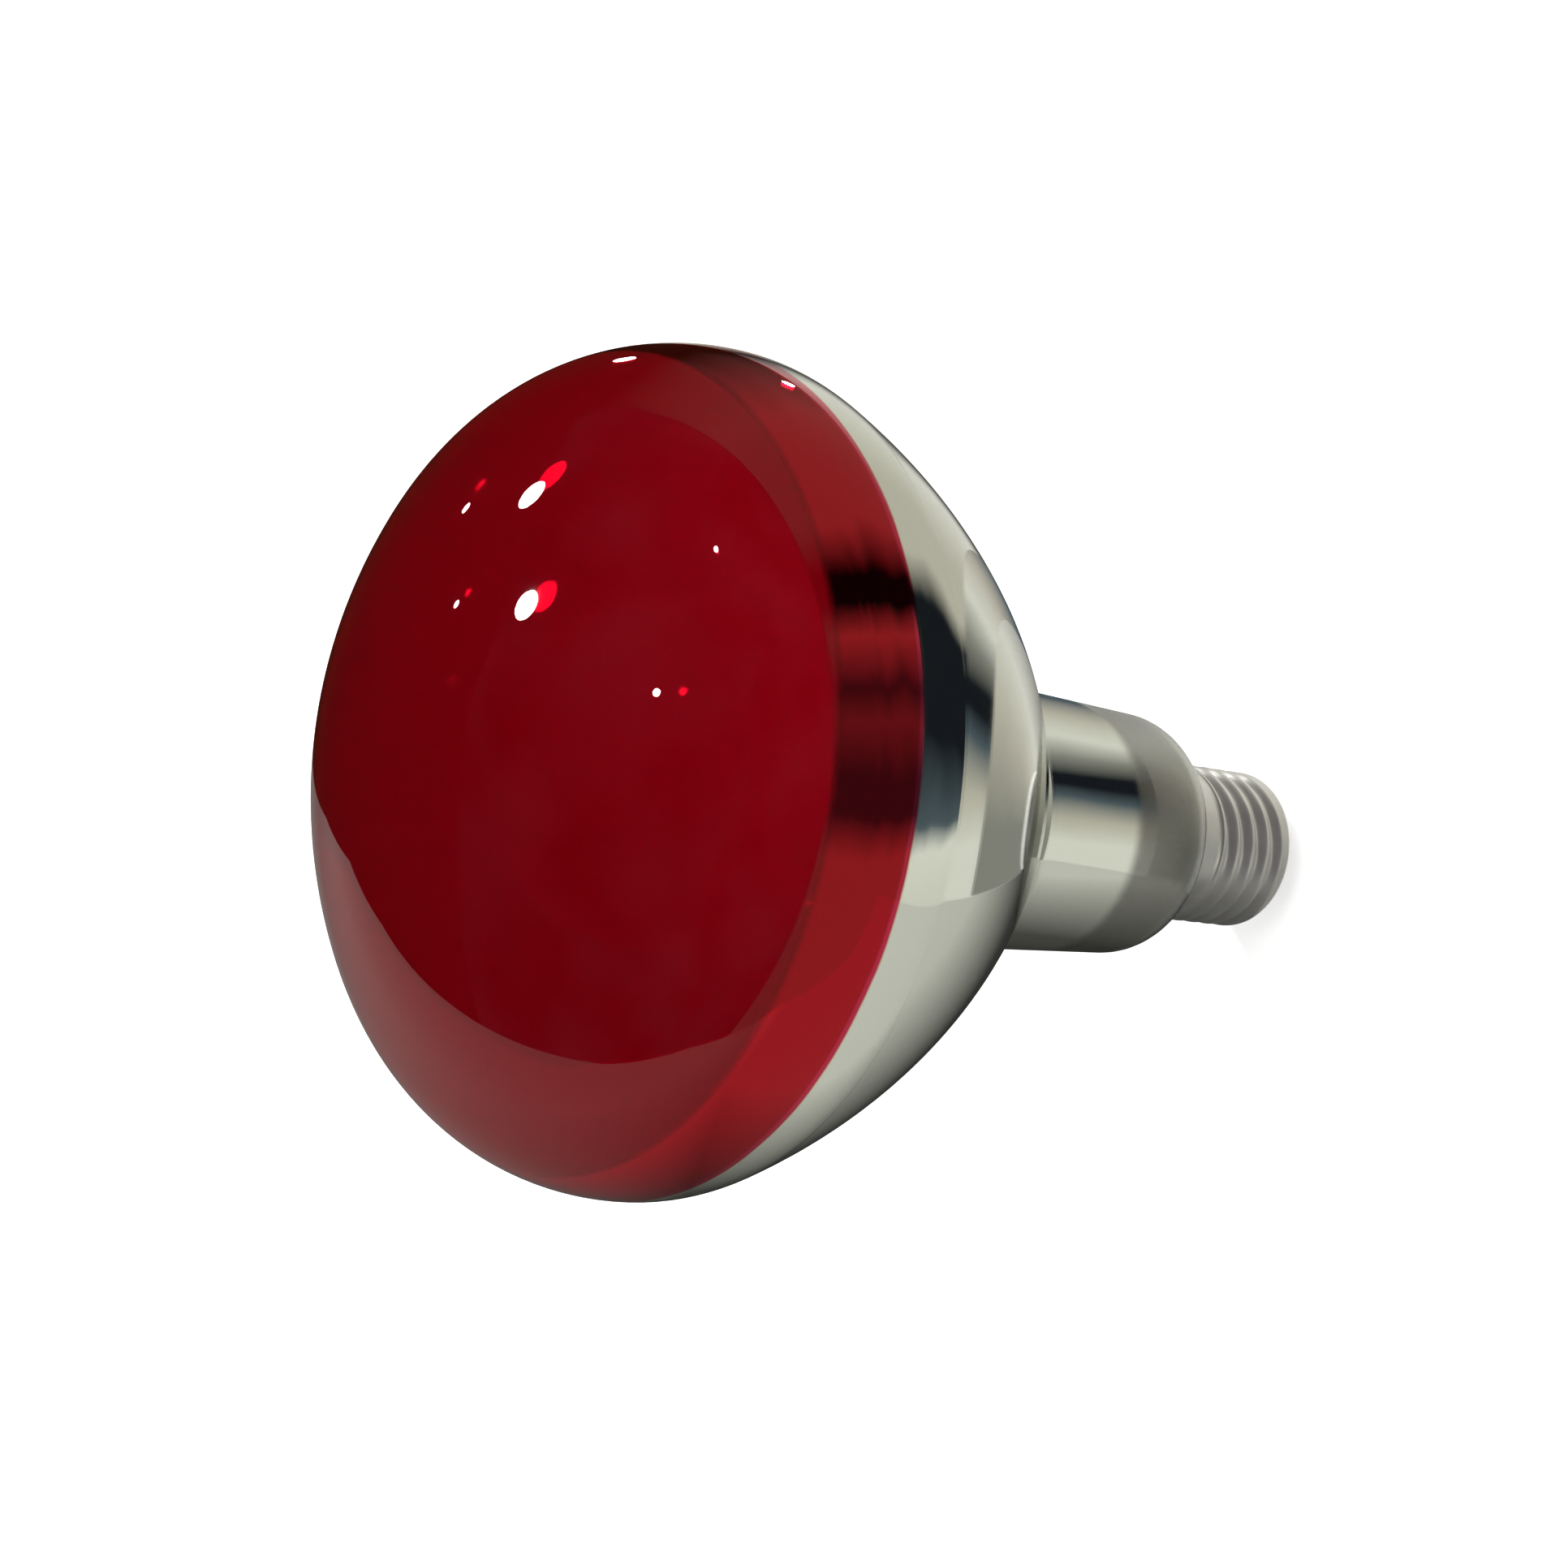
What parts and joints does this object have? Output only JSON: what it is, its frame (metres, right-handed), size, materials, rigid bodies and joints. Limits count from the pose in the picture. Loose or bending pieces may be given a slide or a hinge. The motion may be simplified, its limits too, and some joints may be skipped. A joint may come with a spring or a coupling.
{
  "type": "infrared heat lamp bulb",
  "caption": "Reflector heat lamp bulb: domed red glass front, mirrored bell-shaped back and neck, clear heel and nickel-plated screw cap, with filament mount inside.",
  "frame": {"origin": "tip of the centre contact, on the lamp's axis", "axes": "+Z along the lamp's axis from the cap to the lens; the side wire leaves the collar towards +Y"},
  "size_m": [0.125, 0.125, 0.1759],
  "materials": {
    "bulb_glass": "red transparent lacquer on the front, aluminium mirror inside the back, clear at the heel",
    "clear_glass": "clear drawn glass",
    "black_glass": "opaque black cast glass",
    "nickel_plate": "satin nickel plate on rolled brass",
    "brass": "stamped brass",
    "solder": "dull tin solder",
    "cement": "baked cement",
    "nickel_wire": "drawn nickel wire",
    "copper_wire": "drawn copper wire",
    "molybdenum": "drawn molybdenum wire",
    "tungsten": "coiled tungsten wire",
    "deflector_sheet": "stamped bright aluminium"
  },
  "bodies": {
    "root": {"glass_envelope": "bulb_glass", "screw_shell": "nickel_plate", "insulator": "black_glass", "centre_contact": "brass", "contact_solder": "solder", "rim_solder": "solder", "basing_cement": "cement", "stem_flare": "clear_glass", "exhaust_tube": "clear_glass", "arbor_rod": "clear_glass", "seal_wire_a": "nickel_wire", "seal_wire_b": "nickel_wire", "inner_lead_a": "nickel_wire", "inner_lead_b": "nickel_wire", "outer_lead_contact": "copper_wire", "outer_lead_shell": "copper_wire", "filament_coil": "tungsten", "heat_deflector": "deflector_sheet", "support_wire_1": "molybdenum", "support_wire_2": "molybdenum", "support_wire_3": "molybdenum", "support_wire_4": "molybdenum"}
  },
  "joints": []
}
